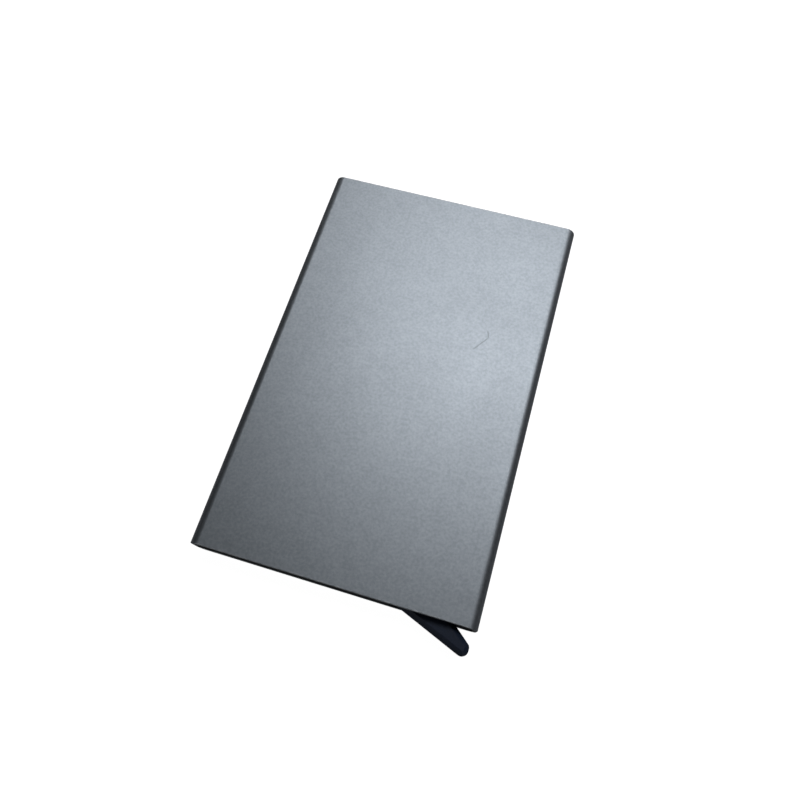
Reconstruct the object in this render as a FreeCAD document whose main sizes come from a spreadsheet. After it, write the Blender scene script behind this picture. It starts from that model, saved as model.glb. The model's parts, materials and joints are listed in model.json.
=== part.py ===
import FreeCAD, Part
import os
import re
import sys

import Sketcher

# Slim aluminium card holder with a bottom lever that fans the cards out of the mouth.
# Frame: origin at the centre of the rear face, +X to the lever's side, +Y to the open mouth,
# +Z out of the front face. Millimetres.

SHEET_ROWS = [
    # alias, value, what it is
    ("case_length", 98.0, "extruded tube, mouth to bottom"),
    ("case_width", 62.4, "extruded tube"),
    ("case_depth", 8.0, "extruded tube"),
    ("case_round", 2.25, "outer radius of the long edges"),
    ("wall", 1.0, "front and rear walls"),
    ("side_wall", 1.2, "narrow walls"),
    ("bore_round", 1.0, "inner radius of the long edges"),
    ("end_chamfer", 0.15, "both sawn ends"),
    ("lip_inner", 27.9, "lips that hold the rails, from the middle to their card side"),
    ("lip_outer", 28.5, "lips that hold the rails, from the middle to their rail side"),
    ("lip_rise", 0.6, "height of the lips over the wall"),
    ("lip_play", 0.1, "bottom cap's grooves to the lips"),
    ("window_low", -43.7, "snap pocket, lower end"),
    ("window_high", -40.9, "snap pocket, upper end"),
    ("window_deep", 0.6, "snap pocket, into the narrow wall"),
    ("window_tall", 3.2, "snap pocket, across the thickness"),
    ("base_side", 29.9, "bottom cap, from the middle to its sides"),
    ("base_top", -38.6, "ledges that the cards stand on"),
    ("base_gap", 0.08, "bottom cap to the front and rear walls"),
    ("base_inset", 0.15, "bottom cap's floor to the tube's end"),
    ("floor_thick", 1.2, "floor of the bottom cap"),
    ("bay_left", -27.2, "left end of the lever's bay"),
    ("cheek_thick", 0.67, "hinge cheeks in front of and behind the hub"),
    ("cheek_radius", 5.5, "hinge cheeks"),
    ("tab_room", 0.4, "room round the hub and above the tab"),
    ("slot_top", 1.8, "pivot to the slot's right side above the hub"),
    ("leg_thick", 0.9, "spring legs of the bottom cap"),
    ("leg_slit", 0.7, "slit behind each spring leg"),
    ("barb_rise", 0.5, "barb on each spring leg"),
    ("barb_flat", 0.3, "flat behind each barb's locking face"),
    ("barb_low", -43.4, "locking face of each barb"),
    ("barb_high", -41.2, "end of each barb's ramp"),
    ("barb_tall", 2.8, "barb, across the thickness"),
    ("rib_left", -26.6, "rib under the arm's end"),
    ("rib_right", -22.6, "rib under the arm's end"),
    ("pad_thick", 0.6, "rubber pad on the rib"),
    ("pad_inset", 0.2, "rubber pad to the rib's sides"),
    ("rest_gap", 0.02, "resting arm to the pad"),
    ("pivot_x", 14.5, "lever pivot"),
    ("pivot_y", -45.0, "lever pivot"),
    ("pin_radius", 1.0, "hinge pin"),
    ("pin_chamfer", 0.15, "hinge pin"),
    ("pin_play", 0.05, "radial clearance of the pin in the lever"),
    ("pin_gap", 0.1, "ends of the pin to the walls"),
    ("hub_radius", 3.6, "lever hub"),
    ("hub_thick", 4.1, "lever hub and finger tab"),
    ("arm_thick", 5.6, "stepped arm"),
    ("arm_reach", 41.3, "pivot to the end of the longest step"),
    ("arm_top", 6.05, "pivot to the card edge of the arm"),
    ("arm_foot", 1.7, "pivot to the underside of the arm's end"),
    ("arm_heel", 6.0, "pivot to where the arm thins to the web"),
    ("arm_straight", 9.0, "level part of the arm's underside, from its end"),
    ("heel_low", 2.4, "underside of the arm's heel, below the pivot"),
    ("web_top", 5.2, "web between arm and hub, above the pivot"),
    ("web_low", 2.2, "web between arm and hub, below the pivot"),
    ("web_bite", 1.0, "length of the web inside the arm"),
    ("web_high_turn", 109.5, "where the web's upper edge meets the hub, in degrees"),
    ("web_low_turn", 223.0, "where the web's lower edge meets the hub, in degrees"),
    ("step_pitch", 4.6, "each step is this much shorter than the one behind it"),
    ("step_count", 6.0, "one step for each card"),
    ("step_round", 0.9, "rounded card corner of each step"),
    ("tab_angle", 21.0, "outer edge of the tab, below the case's bottom edge"),
    ("swing", 40.5, "turn of the lever at which its tab meets the slot's end"),
    ("tip_x", 30.4, "end of the finger tab"),
    ("tip_top", -52.05, "upper corner of the tab's end"),
    ("notch_x", 27.1, "where the tab's upper edge leaves the case"),
    ("notch_y", -49.35, "where the tab's upper edge leaves the case"),
    ("tip_round", 1.3, "lower corner of the tab's end"),
    ("tip_top_round", 0.6, "upper corner of the tab's end"),
    ("tab_edge", 0.6, "rounding of the rims of the tab and the hub"),
    ("rail_inner", 28.55, "rail, card side"),
    ("rail_outer", 29.95, "rail, wall side"),
    ("rail_low", -38.5, "rail, lower end"),
    ("rail_high", 46.4, "rail, upper end"),
    ("rail_depth", 5.9, "rail, across the thickness"),
    ("comb_seat", 0.6, "depth of the rail's groove"),
    ("comb_width", 4.4, "grip comb's back"),
    ("comb_tip", 27.1, "grip comb, from the middle to the free ends of its tongues"),
    ("comb_low", -28.0, "grip comb, lower end"),
    ("comb_high", 44.0, "grip comb, upper end"),
    ("tongue_thick", 0.3, "tongue of the grip comb"),
    ("tongue_pitch", 0.75, "from tongue to tongue"),
    ("tongue_length", 5.5, "tongue of the grip comb, along the rail"),
    ("tongue_gap", 0.5, "gap between tongues, along the rail"),
    ("stop_tip", 27.3, "mouth stop, from the middle to its nose"),
    ("stop_low", 46.5, "mouth stop"),
    ("stop_high", 48.7, "mouth stop, just under the rim"),
    ("stop_nose", 4.4, "mouth stop's nose, across the thickness"),
    ("stop_chamfer", 0.7, "lead-in of the mouth stop"),
    ("felt_middle", 14.0, "felt strip, from the middle"),
    ("felt_width", 6.0, "felt strip"),
    ("felt_thick", 0.7, "felt strip"),
    ("felt_low", -8.0, "felt strip"),
    ("felt_high", 44.0, "felt strip"),
    ("felt_round", 1.5, "felt strip's corners"),
]

doc = FreeCAD.newDocument("card_holder")
sheet = doc.addObject("Spreadsheet::Sheet", "Dims")
for row, (alias, size, note) in enumerate(SHEET_ROWS, start=1):
    sheet.set(f"A{row}", alias)
    sheet.set(f"B{row}", str(size))
    sheet.set(f"C{row}", note)
    sheet.setAlias(f"B{row}", alias)
doc.recompute()
ALIASES = re.compile(r"\b(" + "|".join(alias for alias, _, _ in SHEET_ROWS) + r")\b")


def value(text):
    """The number that a sum of the sheet's aliases gives."""
    return float(sheet.evalExpression(text))


def bind(thing, prop, text):
    """Ties a property to a sum of the sheet's aliases."""
    thing.setExpression(prop, ALIASES.sub(r"Dims.\1", text))


def new_body(label):
    body = doc.addObject("PartDesign::Body", label)
    body.Label = label
    return body


def origin_part(body, role):
    return next(part for part in body.Origin.OriginFeatures if part.Role == role)


def new_sketch(body, name, plane, level):
    """A sketch on one of the body's origin planes. On XZ_Plane, level is the Y that it lies at."""
    sketch = body.newObject("Sketcher::SketchObject", name)
    sketch.AttachmentSupport = [(origin_part(body, plane), "")]
    sketch.MapMode = "FlatFace"
    sign = "-" if plane == "XZ_Plane" else ""  # that plane's normal points along -Y
    bind(sketch, "AttachmentOffset.Base.z", f"{sign}({level})")
    return sketch


def pin_point(sketch, line, end, x, y):
    """Holds one end of a line, or a circle's centre, at a place given by two sums."""
    for kind, text in (("DistanceX", x), ("DistanceY", y)):
        held = Sketcher.Constraint(kind, -1, 1, line, end, value(text))
        bind(sketch, f"Constraints[{sketch.addConstraint(held)}]", text)


def draw_loop(sketch, corners):
    """A closed outline through corners, each a pair of sums."""
    places = [FreeCAD.Vector(value(x), value(y), 0) for x, y in corners]
    count = len(corners)
    first = sketch.GeometryCount
    for i in range(count):
        sketch.addGeometry(Part.LineSegment(places[i], places[(i + 1) % count]))
    for i in range(count):
        after = first + (i + 1) % count
        sketch.addConstraint(Sketcher.Constraint("Coincident", first + i, 2, after, 1))
    for i, (x, y) in enumerate(corners):
        pin_point(sketch, first + i, 1, x, y)


def draw_circle(sketch, x, y, radius):
    middle = FreeCAD.Vector(value(x), value(y), 0)
    circle = sketch.addGeometry(Part.Circle(middle, FreeCAD.Vector(0, 0, 1), value(radius)))
    pin_point(sketch, circle, 3, x, y)
    size = sketch.addConstraint(Sketcher.Constraint("Radius", circle, value(radius)))
    bind(sketch, f"Constraints[{size}]", radius)


def box_loop(x0, x1, y0, y1):
    return [(x0, y0), (x1, y0), (x1, y1), (x0, y1)]


def extrude(body, kind, name, plane, level, length, loops=(), circles=(), forward=True):
    """A Pad or Pocket of closed loops and circles, from level, along the plane's normal."""
    sketch = new_sketch(body, name + "_sketch", plane, level)
    for corners in loops:
        draw_loop(sketch, corners)
    for x, y, radius in circles:
        draw_circle(sketch, x, y, radius)
    feature = body.newObject("PartDesign::" + kind, name)
    feature.Profile = sketch
    bind(feature, "Length", length)
    feature.Reversed = (kind == "Pocket") == forward  # a pocket cuts against the normal by itself
    doc.recompute()
    if "Invalid" in feature.State:
        sys.exit(f"{body.Label}: {name} failed")
    return feature


def pad(body, name, level, length, **shapes):
    """Adds material from z = level upwards."""
    return extrude(body, "Pad", name, "XY_Plane", level, length, **shapes)


def cut(body, name, level, length, **shapes):
    """Takes material from z = level upwards, and checks that some was there."""
    before = body.Shape.Volume
    made = extrude(body, "Pocket", name, "XY_Plane", level, length, **shapes)
    if body.Shape.Volume > before - 1e-6:
        sys.exit(f"{body.Label}: {name} cut nothing")
    return made


def edge_names(shape, wanted):
    """The names of the edges whose middle point and direction the test accepts."""
    names = []
    for number, edge in enumerate(shape.Edges, start=1):
        ends = [v.Point for v in edge.Vertexes]
        run = ends[-1] - ends[0] if len(ends) > 1 else FreeCAD.Vector()
        middle = edge.valueAt((edge.FirstParameter + edge.LastParameter) / 2)
        if wanted(middle, run):
            names.append(f"Edge{number}")
    return names


def dress(body, kind, name, size, wanted):
    """A Fillet or Chamfer on the edges that the test accepts."""
    base = body.Tip
    names = edge_names(base.Shape, wanted)
    if not names:
        sys.exit(f"{body.Label}: {name} found no edge")
    feature = body.newObject("PartDesign::" + kind, name)
    feature.Base = (base, names)
    bind(feature, "Radius" if kind == "Fillet" else "Size", size)
    doc.recompute()
    if "Invalid" in feature.State:
        sys.exit(f"{body.Label}: {name} failed")
    return feature


def runs_along(run, axis):
    """Whether an edge's run lies along one of the axes 0, 1 and 2."""
    return run.Length > 1e-6 and abs(run[axis]) > 0.999 * run.Length


# Case: one length of extruded tube, with lips inside that hold the side rails.


def case_section_inside():
    """The tube's bore, with two lips on each of its wide walls."""
    side = "case_width / 2 - side_wall"
    quarter = [(side, 0), ("lip_outer", 0), ("lip_outer", 1), ("lip_inner", 1), ("lip_inner", 0)]
    corners = []
    for front, sign, order in ((False, "-", 1), (False, "", -1), (True, "", 1), (True, "-", -1)):
        for x, up in quarter[::order]:
            rise = f"wall + {up} * lip_rise"
            corners.append((f"{sign}({x})", f"case_depth - ({rise})" if front else rise))
    return corners


def make_case():
    body = new_body("case_tube")
    top = "case_length / 2"
    outside = box_loop("-case_width / 2", "case_width / 2", "0", "case_depth")
    extrude(body, "Pad", "tube_outside", "XZ_Plane", top, "case_length", loops=[outside])
    dress(body, "Fillet", "long_edges", "case_round", lambda p, run: runs_along(run, 1))
    extrude(
        body, "Pocket", "tube_bore", "XZ_Plane", top, "case_length", loops=[case_section_inside()]
    )
    wall_x = value("case_width / 2 - side_wall")
    dress(
        body,
        "Fillet",
        "bore_corners",
        "bore_round",
        lambda p, run: runs_along(run, 1) and abs(abs(p.x) - wall_x) < 1e-3,
    )
    windows = []
    for sign in ("-", ""):
        near, far = f"{sign}(base_side)", f"{sign}(case_width / 2 - side_wall + window_deep)"
        windows.append(box_loop(near, far, "window_low", "window_high"))
    cut(body, "snap_pockets", "(case_depth - window_tall) / 2", "window_tall", loops=windows)
    end_y, middle_z = value("case_length / 2"), value("case_depth / 2")
    half_wall = value("wall / 2")

    def outer_rim(p, run):
        outside = abs(p.x) > wall_x + half_wall or abs(p.z - middle_z) > middle_z - half_wall
        return outside and abs(abs(p.y) - end_y) < 1e-3

    dress(body, "Chamfer", "end_breaks", "end_chamfer", outer_rim)
    return body


# Bottom cap: closes the tube, carries the hinge, and snaps into the tube with two spring legs.


def make_base():
    body = new_body("base_cap")
    low, high = "wall + base_gap", "case_depth - wall - base_gap"
    tall = f"({high}) - ({low})"
    bottom = "-case_length / 2 + base_inset"
    floor_top = f"{bottom} + floor_thick"
    block = box_loop("-base_side", "base_side", bottom, "base_top")
    pad(body, "block", low, tall, loops=[block])
    dress(body, "Fillet", "block_corners", "bore_round", lambda p, run: runs_along(run, 1))
    bay = box_loop("bay_left", "pivot_x", floor_top, "base_top + 1")
    cut(body, "arm_bay", low, tall, loops=[bay])
    rib_top = "pivot_y + arm_foot - rest_gap - pad_thick"
    rib = box_loop("rib_left", "rib_right", bottom, rib_top)
    pad(body, "arm_rib", low, tall, loops=[rib])
    for name, level in (("rear", low), ("front", f"{high} - cheek_thick")):
        disc = ("pivot_x", "pivot_y", "cheek_radius")
        pad(body, name + "_cheek", level, "cheek_thick", circles=[disc])
    cheek_ends = ("pivot_x - cheek_radius - 1", "pivot_x + cheek_radius + 1")
    under = box_loop(*cheek_ends, "pivot_y - cheek_radius - 1", bottom)
    cut(body, "trim_cheeks", low, tall, loops=[under])
    between = f"{tall} - 2 * cheek_thick"
    inner_low = f"{low} + cheek_thick"
    hub = ("pivot_x", "pivot_y", "hub_radius + tab_room")
    cut(body, "hub_pocket", inner_low, between, circles=[hub])
    slot = slot_corners(bottom)
    cut(body, "lever_slot", inner_low, between, loops=[slot])
    pin = ("pivot_x", "pivot_y", "pin_radius")
    cut(body, "pin_bore", low, tall, circles=[pin])
    slits, barbs, grooves = [], [], []
    for sign in ("-", ""):
        leg = f"{sign}(base_side - leg_thick)"
        behind = f"{sign}(base_side - leg_thick - leg_slit)"
        slits.append(box_loop(behind, leg, floor_top, "base_top + 1"))
        barbs.append(
            [
                (f"{sign}(base_side - leg_thick / 2)", "barb_low"),
                (f"{sign}(base_side + barb_rise)", "barb_low"),
                (f"{sign}(base_side + barb_rise)", "barb_low + barb_flat"),
                (f"{sign}base_side", "barb_high"),
                (f"{sign}(base_side - leg_thick / 2)", "barb_high"),
            ]
        )
        for level, way in (("wall", "+"), ("case_depth - wall", "-")):
            edges = (f"{sign}(lip_inner - lip_play)", f"{sign}(lip_outer + lip_play)")
            grooves.append(box_loop(*edges, level, f"{level} {way} (lip_rise + lip_play)"))
    cut(body, "leg_slits", low, tall, loops=slits)
    pad(body, "leg_barbs", "(case_depth - barb_tall) / 2", "barb_tall", loops=barbs)
    deep = "base_top + 1 + case_length / 2"
    extrude(body, "Pocket", "lip_grooves", "XZ_Plane", "base_top + 1", deep, loops=grooves)
    return body


def slot_corners(bottom):
    """The lever's slot: its left end stops the tab, its right side follows the tab's upper edge."""
    steepest = "((tab_angle + swing) * 1 deg)"
    left = f"pivot_x - hub_radius / sin{steepest} + (pivot_y - ({bottom})) / tan{steepest}"
    out_x, out_y = f"cos{TAB_NORMAL}", f"sin{TAB_NORMAL}"
    return [
        (f"{left} - 2 / tan{steepest}", f"{bottom} + 2"),
        (f"{left} + 1 / tan{steepest}", f"{bottom} - 1"),
        (f"notch_x + tab_room * {out_x}", f"{bottom} - 1"),
        (f"notch_x + tab_room * {out_x}", f"notch_y + tab_room * {out_y}"),
        (
            f"pivot_x + (hub_radius + tab_room) * {out_x}",
            f"pivot_y + (hub_radius + tab_room) * {out_y}",
        ),
        ("pivot_x + slot_top", "pivot_y + hub_radius"),
        ("pivot_x + slot_top", "base_top + 1"),
        ("pivot_x", "base_top + 1"),
        ("pivot_x", f"{bottom} + 2"),
    ]


# Lever: a stepped arm inside, a hub on the pin, and a finger tab outside.


# The direction that the tab's straight upper edge, from the hub to the notch, faces.
TAB_NORMAL = (
    "(atan2(notch_y - pivot_y; notch_x - pivot_x)"
    " + acos(hub_radius / sqrt((notch_x - pivot_x)^2 + (notch_y - pivot_y)^2)))"
)


def tab_corners():
    """The finger tab's outline, from the hub to the tip, before its corners are rounded."""
    down = "(tab_angle * 1 deg)"
    root_x = f"pivot_x - hub_radius * sin{down}"
    root_y = f"pivot_y - hub_radius * cos{down}"
    tip_low = f"{root_y} - (tip_x - ({root_x})) * tan{down}"
    return [
        ("pivot_x", "pivot_y"),
        (root_x, root_y),
        ("tip_x", tip_low),
        ("tip_x", "tip_top"),
        ("notch_x", "notch_y"),
        (f"pivot_x + hub_radius * cos{TAB_NORMAL}", f"pivot_y + hub_radius * sin{TAB_NORMAL}"),
    ]


def make_lever():
    body = new_body("eject_lever")
    rear, hub_rear = "(case_depth - arm_thick) / 2", "(case_depth - hub_thick) / 2"
    hub = ("pivot_x", "pivot_y", "hub_radius")
    pad(body, "hub", hub_rear, "hub_thick", circles=[hub])
    pad(body, "finger_tab", hub_rear, "hub_thick", loops=[tab_corners()])
    round_tab(body)
    web = [
        ("pivot_x - arm_heel - web_bite", "pivot_y + web_top"),
        ("pivot_x - arm_heel - web_bite", "pivot_y - web_low"),
        on_hub("web_low_turn"),
        ("pivot_x", "pivot_y"),
        on_hub("web_high_turn"),
    ]
    pad(body, "web", hub_rear, "hub_thick", loops=[web])
    arm = [
        ("pivot_x - arm_reach", "pivot_y + arm_foot"),
        ("pivot_x - arm_reach + arm_straight", "pivot_y + arm_foot"),
        ("pivot_x - arm_heel", "pivot_y - heel_low"),
        ("pivot_x - arm_heel", "pivot_y + arm_top"),
        ("pivot_x - arm_reach", "pivot_y + arm_top"),
    ]
    pad(body, "arm", rear, "arm_thick", loops=[arm])
    steps = int(value("step_count"))
    for k in range(1, steps):
        beyond = box_loop(
            "pivot_x - arm_reach - 1",
            f"pivot_x - arm_reach + {k} * step_pitch",
            "pivot_y - hub_radius",
            "pivot_y + arm_top + 1",
        )
        level = f"{rear} + {k} * arm_thick / step_count"
        cut(body, f"step_{k}", level, "arm_thick", loops=[beyond])
    bore = ("pivot_x", "pivot_y", "pin_radius + pin_play")
    cut(body, "pin_bore", hub_rear, "hub_thick", circles=[bore])
    top_y, heel_x = value("pivot_y + arm_top"), value("pivot_x - arm_heel")
    dress(
        body,
        "Fillet",
        "step_corners",
        "step_round",
        lambda p, run: runs_along(run, 2) and abs(p.y - top_y) < 1e-3 and p.x < heel_x - 1e-3,
    )
    return body


def on_hub(turn):
    """A point on the hub's rim, turned from +X."""
    return (
        f"pivot_x + hub_radius * cos({turn} * 1 deg)",
        f"pivot_y + hub_radius * sin({turn} * 1 deg)",
    )


def round_tab(body):
    """Rounds the tab's end corners and then the rims of the tab and hub."""
    tip_x, tip_top = value("tip_x"), value("tip_top")
    for name, size, high in (("tip_low", "tip_round", False), ("tip_high", "tip_top_round", True)):
        dress(
            body,
            "Fillet",
            name,
            size,
            lambda p, run: abs(p.x - tip_x) < 1e-3 and runs_along(run, 2) and (p.y > tip_top - 0.1) == high,
        )
    dress(body, "Fillet", "tab_rims", "tab_edge", lambda p, run: not runs_along(run, 2))


def make_pin():
    body = new_body("lever_pin")
    pin = ("pivot_x", "pivot_y", "pin_radius")
    pad(body, "shank", "wall + pin_gap", "case_depth - 2 * (wall + pin_gap)", circles=[pin])
    dress(body, "Chamfer", "ends", "pin_chamfer", lambda p, run: True)
    return body


def make_pad():
    """The rubber pad that the arm's end rests on."""
    body = new_body("lever_stop_pad")
    top = "pivot_y + arm_foot - rest_gap"
    outline = box_loop("rib_left + pad_inset", "rib_right - pad_inset", f"{top} - pad_thick", top)
    pad(body, "block", "(case_depth - arm_thick) / 2", "arm_thick", loops=[outline])
    return body


# Sides: a rail, a soft comb of tongues that grips the card edges, and a stop at the mouth.


def make_rail(side, sign):
    body = new_body(f"{side}_rail")
    low, high = "(case_depth - rail_depth) / 2", "(case_depth + rail_depth) / 2"
    groove_low, groove_high = "(case_depth - comb_width) / 2", "(case_depth + comb_width) / 2"
    seat = f"{sign}(rail_inner + comb_seat)"
    section = [
        (f"{sign}rail_outer", low),
        (f"{sign}rail_outer", high),
        (f"{sign}rail_inner", high),
        (f"{sign}rail_inner", groove_high),
        (seat, groove_high),
        (seat, groove_low),
        (f"{sign}rail_inner", groove_low),
        (f"{sign}rail_inner", low),
    ]
    extrude(body, "Pad", "channel", "XZ_Plane", "rail_high", "rail_high - rail_low", loops=[section])
    outer = value("rail_outer")
    dress(
        body,
        "Fillet",
        "wall_corners",
        "bore_round",
        lambda p, run: runs_along(run, 1) and abs(abs(p.x) - outer) < 1e-3,
    )
    return body


def comb_section(sign):
    """The comb's back with one tongue for each card."""
    back, root, tip = f"{sign}(rail_inner + comb_seat)", f"{sign}lip_outer", f"{sign}comb_tip"
    count = int(value("step_count"))
    corners = [(back, "(case_depth - comb_width) / 2"), (root, "(case_depth - comb_width) / 2")]
    for k in range(count):
        middle = f"case_depth / 2 + ({k} - (step_count - 1) / 2) * tongue_pitch"
        for x, way in ((root, "-"), (tip, "-"), (tip, "+"), (root, "+")):
            corners.append((x, f"{middle} {way} tongue_thick / 2"))
    corners += [(root, "(case_depth + comb_width) / 2"), (back, "(case_depth + comb_width) / 2")]
    return corners


def make_comb(side, sign):
    body = new_body(f"{side}_comb")
    length = "comb_high - comb_low"
    extrude(body, "Pad", "strip", "XZ_Plane", "comb_high", length, loops=[comb_section(sign)])
    pitch = "tongue_length + tongue_gap"
    first = "comb_low + tongue_length"
    ends = (f"{sign}(comb_tip - tongue_gap)", f"{sign}lip_outer")
    gap = box_loop(*ends, first, f"{first} + tongue_gap")
    slit = cut(body, "tongue_slit", "0", "case_depth", loops=[gap])
    count = round(value(f"({length}) / ({pitch})")) - 1
    pattern = body.newObject("PartDesign::LinearPattern", "tongue_slits")
    pattern.Originals = [slit]
    pattern.Direction = (origin_part(body, "Y_Axis"), [""])
    bind(pattern, "Length", f"({count} - 1) * ({pitch})")
    pattern.Occurrences = count
    body.Tip = pattern
    doc.recompute()
    return body


def make_stop(side, sign):
    body = new_body(f"{side}_mouth_stop")
    low, high = "(case_depth - rail_depth) / 2", "(case_depth + rail_depth) / 2"
    nose_low, nose_high = "(case_depth - stop_nose) / 2", "(case_depth + stop_nose) / 2"
    section = [
        (f"{sign}rail_outer", low),
        (f"{sign}rail_outer", high),
        (f"{sign}rail_inner", high),
        (f"{sign}rail_inner", nose_high),
        (f"{sign}stop_tip", nose_high),
        (f"{sign}stop_tip", nose_low),
        (f"{sign}rail_inner", nose_low),
        (f"{sign}rail_inner", low),
    ]
    extrude(body, "Pad", "plug", "XZ_Plane", "stop_high", "stop_high - stop_low", loops=[section])
    outer, tip, top = value("rail_outer"), value("stop_tip"), value("stop_high")
    dress(
        body,
        "Fillet",
        "wall_corners",
        "bore_round",
        lambda p, run: runs_along(run, 1) and abs(abs(p.x) - outer) < 1e-3,
    )
    dress(
        body,
        "Chamfer",
        "lead_in",
        "stop_chamfer",
        lambda p, run: abs(abs(p.x) - tip) < 1e-3 and abs(p.y - top) < 1e-3,
    )
    return body


def make_felt(side, sign):
    body = new_body(f"{side}_felt_strip")
    edges = (f"{sign}felt_middle - felt_width / 2", f"{sign}felt_middle + felt_width / 2")
    outline = box_loop(*edges, "felt_low", "felt_high")
    pad(body, "strip", "wall", "felt_thick", loops=[outline])
    dress(body, "Fillet", "corners", "felt_round", lambda p, run: runs_along(run, 2))
    return body


def make_all():
    bodies = [make_case(), make_base(), make_lever(), make_pin(), make_pad()]
    for side, sign in (("left", "-"), ("right", "")):
        for maker in (make_rail, make_comb, make_stop, make_felt):
            bodies.append(maker(side, sign))
    return bodies


def save_all(bodies):
    """Writes one STEP file for each sub-part, after checking that all of them are sound."""
    doc.recompute()
    for thing in doc.Objects:
        if "Invalid" in thing.State or "Error" in thing.State:
            sys.exit(f"{thing.Name} is in state {thing.State}")
    os.makedirs("parts", exist_ok=True)
    for body in bodies:
        shape = body.Shape
        if shape.isNull() or not shape.isValid() or len(shape.Solids) != 1:
            sys.exit(f"{body.Label} is not one sound solid")
        shape.exportStep(f"parts/{body.Label}.step")
        box = shape.BoundBox
        sizes = f"{box.XLength:.2f} x {box.YLength:.2f} x {box.ZLength:.2f}"
        print(f"{body.Label}: {sizes} mm, {shape.Volume:.1f} mm3")


save_all(make_all())
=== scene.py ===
import bmesh
import bpy
import json
import math
from mathutils import Matrix, Vector


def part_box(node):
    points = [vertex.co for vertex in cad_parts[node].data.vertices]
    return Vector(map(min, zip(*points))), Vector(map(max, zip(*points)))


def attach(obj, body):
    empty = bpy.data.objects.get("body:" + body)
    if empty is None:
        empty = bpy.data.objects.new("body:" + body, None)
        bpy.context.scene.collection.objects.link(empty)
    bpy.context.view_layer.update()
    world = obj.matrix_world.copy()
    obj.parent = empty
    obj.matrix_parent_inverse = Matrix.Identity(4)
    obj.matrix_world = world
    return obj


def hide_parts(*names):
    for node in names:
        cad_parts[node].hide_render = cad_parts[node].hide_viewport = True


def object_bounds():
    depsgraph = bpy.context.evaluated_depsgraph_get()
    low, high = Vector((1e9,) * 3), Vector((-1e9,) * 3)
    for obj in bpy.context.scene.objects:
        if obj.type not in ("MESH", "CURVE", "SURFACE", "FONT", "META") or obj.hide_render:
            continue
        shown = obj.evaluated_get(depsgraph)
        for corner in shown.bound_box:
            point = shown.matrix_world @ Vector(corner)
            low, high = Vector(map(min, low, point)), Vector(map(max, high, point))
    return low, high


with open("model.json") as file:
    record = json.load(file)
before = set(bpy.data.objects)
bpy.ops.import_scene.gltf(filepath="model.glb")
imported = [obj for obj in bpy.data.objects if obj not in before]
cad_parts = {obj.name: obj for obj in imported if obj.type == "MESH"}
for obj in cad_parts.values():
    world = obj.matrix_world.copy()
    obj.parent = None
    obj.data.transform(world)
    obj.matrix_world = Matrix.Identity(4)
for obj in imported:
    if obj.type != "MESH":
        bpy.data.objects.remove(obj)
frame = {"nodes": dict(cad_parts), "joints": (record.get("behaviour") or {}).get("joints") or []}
cadLow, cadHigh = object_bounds()
mm = 0.001
caseLow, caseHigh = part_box("case_tube")
caseSize = caseHigh - caseLow
caseMiddle = (caseLow + caseHigh) / 2
print("frame loaded")


def addNode(tree, kind, inputs=None, **settings):
    node = tree.nodes.new(kind)
    for name, value in settings.items():
        setattr(node, name, value)
    for key, value in (inputs or {}).items():
        if isinstance(value, bpy.types.NodeSocket):
            tree.links.new(value, node.inputs[key])
        else:
            node.inputs[key].default_value = value
    return node


def mathNode(tree, operation, *values, clamp=False):
    node = addNode(tree, "ShaderNodeMath", dict(enumerate(values)), operation=operation)
    node.use_clamp = clamp
    return node.outputs[0]


def vectorNode(tree, operation, first, second=None):
    inputs = {0: first} if second is None else {0: first, 1: second}
    return addNode(tree, "ShaderNodeVectorMath", inputs, operation=operation).outputs


def startTree(name, sizes):
    tree = bpy.data.node_groups.new(name, "GeometryNodeTree")
    kinds = {float: "NodeSocketFloat", int: "NodeSocketInt"}
    for label, value in sizes.items():
        socket = tree.interface.new_socket(label, in_out="INPUT", socket_type=kinds[type(value)])
        socket.default_value = value
    tree.interface.new_socket("Finish", in_out="INPUT", socket_type="NodeSocketMaterial")
    tree.interface.new_socket("Geometry", in_out="OUTPUT", socket_type="NodeSocketGeometry")
    entry = addNode(tree, "NodeGroupInput")
    return tree, entry.outputs


def endTree(tree, given, geometry):
    solid = addNode(tree, "GeometryNodeRealizeInstances", {0: geometry}).outputs[0]
    painted = addNode(tree, "GeometryNodeSetMaterial", {0: solid, "Material": given["Finish"]})
    addNode(tree, "NodeGroupOutput", {0: painted.outputs[0]})


def roundedOutline(tree, width, height, radius, steps):
    sides = {"Width": width, "Height": height}
    outline = addNode(tree, "GeometryNodeCurvePrimitiveQuadrilateral", sides).outputs[0]
    corners = {"Curve": outline, "Count": steps, "Radius": radius}
    return addNode(tree, "GeometryNodeFilletCurve", corners, mode="POLY").outputs[0]


def grow(name, tree, sizes, finish):
    # the tree's result is kept as a plain mesh
    seedObject = bpy.data.objects.new(name + "Seed", bpy.data.meshes.new(name + "Seed"))
    bpy.context.scene.collection.objects.link(seedObject)
    modifier = seedObject.modifiers.new("grow", "NODES")
    modifier.node_group = tree
    for item in tree.interface.items_tree:
        if item.in_out == "INPUT":
            modifier[item.identifier] = finish if item.name == "Finish" else sizes[item.name]
    evaluated = seedObject.evaluated_get(bpy.context.evaluated_depsgraph_get())
    mesh = bpy.data.meshes.new_from_object(evaluated)
    bpy.data.objects.remove(seedObject)
    return addPiece(name, mesh, finish)


def addPiece(name, mesh, finish):
    mesh.name = name
    mesh.materials.clear()
    mesh.materials.append(finish)
    piece = bpy.data.objects.new(name, mesh)
    bpy.context.scene.collection.objects.link(piece)
    return piece


def smooth(piece, degrees=35):
    piece.data.shade_smooth()
    piece.data.set_sharp_from_angle(angle=math.radians(degrees))
    weighted = piece.modifiers.new("evenShading", "WEIGHTED_NORMAL")
    weighted.keep_sharp = True


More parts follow.
